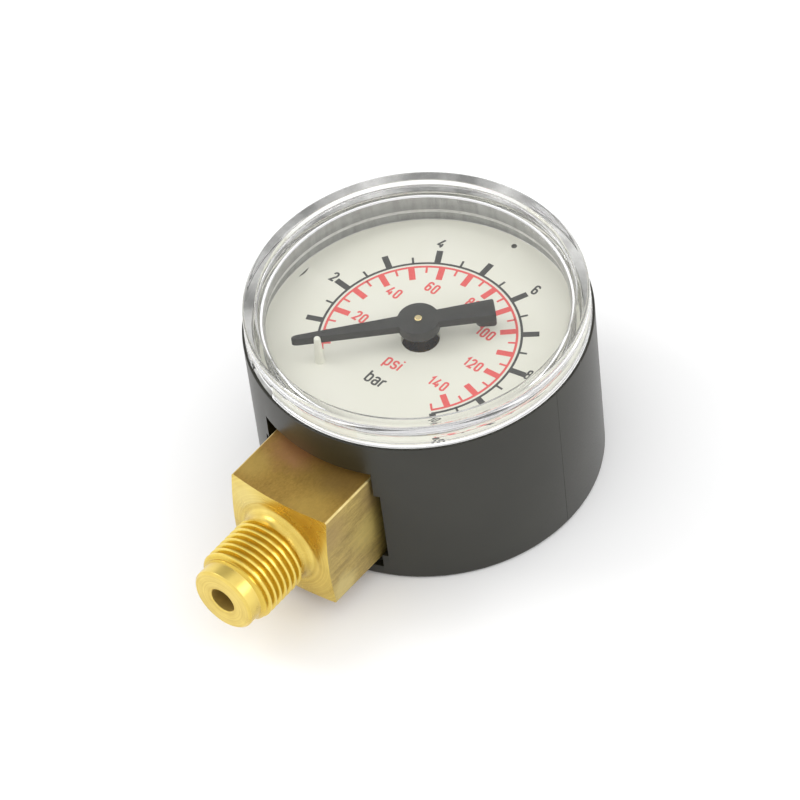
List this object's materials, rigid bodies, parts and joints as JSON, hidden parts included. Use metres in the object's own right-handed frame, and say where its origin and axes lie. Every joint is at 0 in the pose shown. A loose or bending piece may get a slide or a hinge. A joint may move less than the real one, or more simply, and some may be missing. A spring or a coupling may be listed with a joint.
{
  "type": "pressure gauge",
  "caption": "Round pressure gauge with a black moulded case, snap-in clear window, dial with bar and psi scales, and a brass stem with a pipe thread at the bottom.",
  "frame": {"origin": "centre of the case's flat back face", "axes": "+Z points out of the dial, -Y along the stem away from the case, +Y towards 12 o'clock"},
  "size_m": [0.0412, 0.0592, 0.0264],
  "materials": {
    "case_plastic": "satin moulded black",
    "clear_plastic": "clear polished moulding",
    "dial_white": "cream white, printed",
    "pointer_plastic": "satin black",
    "brass": "turned and drawn, slightly tarnished",
    "bronze": "drawn phosphor bronze",
    "steel": "bright steel"
  },
  "bodies": {
    "gauge_body": {"case": "case_plastic", "case_screws": "steel", "socket": "brass", "dial": "dial_white", "window": "clear_plastic", "hairspring": "bronze", "hairspring_stud": "brass", "bourdon_tube": "bronze", "back_plate": "brass", "front_plate": "brass", "pillar_screws": "steel", "post_screws": "steel", "pillar_1": "brass", "pillar_2": "brass", "pillar_3": "brass"},
    "sector": {"sector_gear": "brass", "sector_arbor": "steel", "link_rivet_sector": "brass"},
    "pointer_shaft": {"pinion_spindle": "brass", "pointer": "pointer_plastic", "hairspring_collet": "brass"},
    "tube_tip": {"tube_end_piece": "brass", "link_rivet_tip": "brass"},
    "link_arm": {"link": "brass"}
  },
  "joints": [
    {"name": "sector_swing", "type": "hinge", "parent": "gauge_body", "child": "sector", "pos_m": [0.00248, -0.00865, 0.011], "axis": [0, 0, 1], "range_deg": [0, 30], "stiffness_Nm_per_rad": 0.001, "springref_deg": -4.58},
    {"name": "pointer_spin", "type": "hinge", "parent": "gauge_body", "child": "pointer_shaft", "pos_m": [0, 0, 0.011], "axis": [0, 0, -1], "range_deg": [0, 270], "deforming": ["hairspring"]},
    {"name": "tube_tip_swing", "type": "hinge", "parent": "gauge_body", "child": "tube_tip", "pos_m": [-0.00164, 0.00234, 0.011], "axis": [0, 0, 1], "range_deg": [0, 7.62], "deforming": ["bourdon_tube"]},
    {"name": "link_swing", "type": "hinge", "parent": "sector", "child": "link_arm", "pos_m": [0.00474, -0.01091, 0.0117], "axis": [0, 0, 1], "range_deg": [-29.9, 0]}
  ],
  "couplings": [
    {"joint": "pointer_spin", "follows": "sector_swing", "ratio": 9},
    {"joint": "tube_tip_swing", "follows": "sector_swing", "ratio": 0.2537},
    {"joint": "link_swing", "follows": "sector_swing", "ratio": -0.99569}
  ]
}
